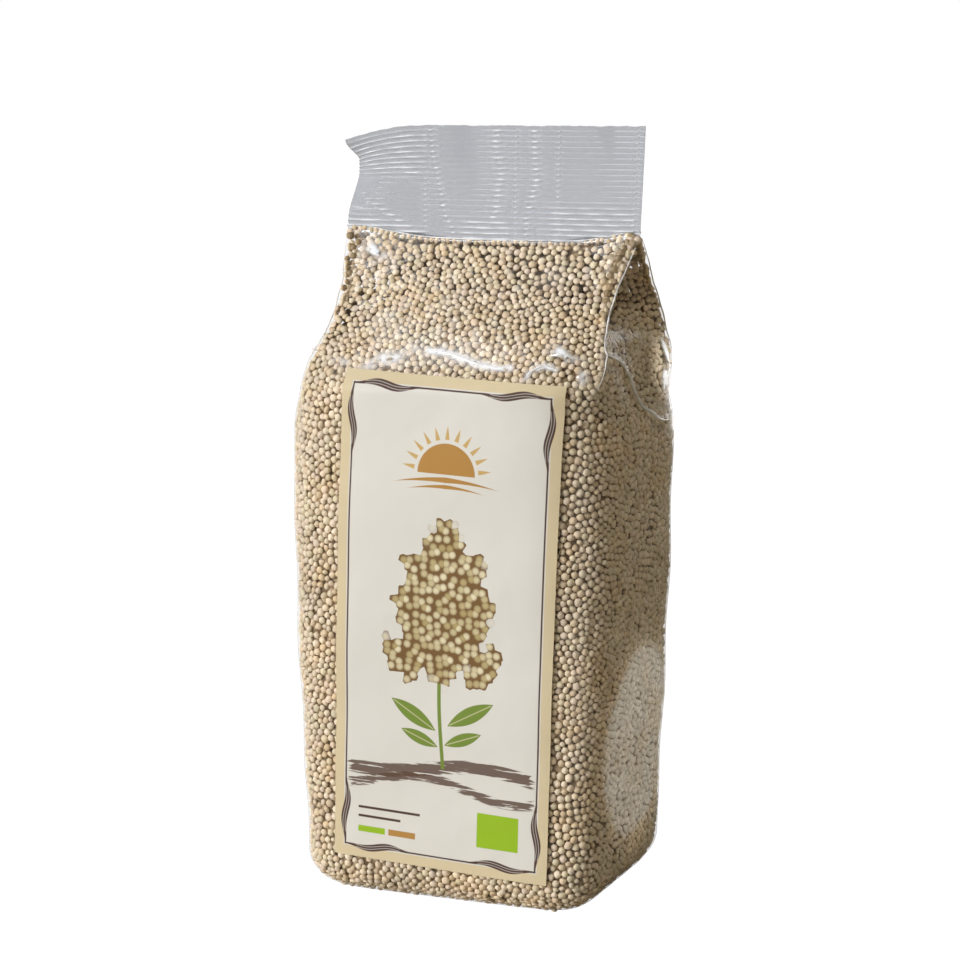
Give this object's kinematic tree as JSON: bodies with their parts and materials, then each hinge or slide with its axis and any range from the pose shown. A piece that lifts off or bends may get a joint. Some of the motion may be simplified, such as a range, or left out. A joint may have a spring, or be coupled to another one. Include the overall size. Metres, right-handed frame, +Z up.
{
  "type": "bag of quinoa",
  "caption": "Clear block-bottom film bag filled with pale quinoa grains, with side gussets, a crimped heat-sealed header and a paper label on the front.",
  "frame": {"origin": "middle of the bounding box on the surface that the bag stands on", "axes": "+Z up, the front with the label faces -Y, the bag's width runs along X"},
  "size_m": [0.0834, 0.0698, 0.1842],
  "materials": {
    "quinoa": "pale whole grains with dark gaps between them, seen through clear film",
    "film": "thin clear glossy polypropylene film with wrinkles and crimp ribs",
    "label_paper": "smooth satin printed paper in cream with a tan border"
  },
  "bodies": {
    "root": {"bag": "quinoa", "label": "label_paper"}
  },
  "joints": []
}
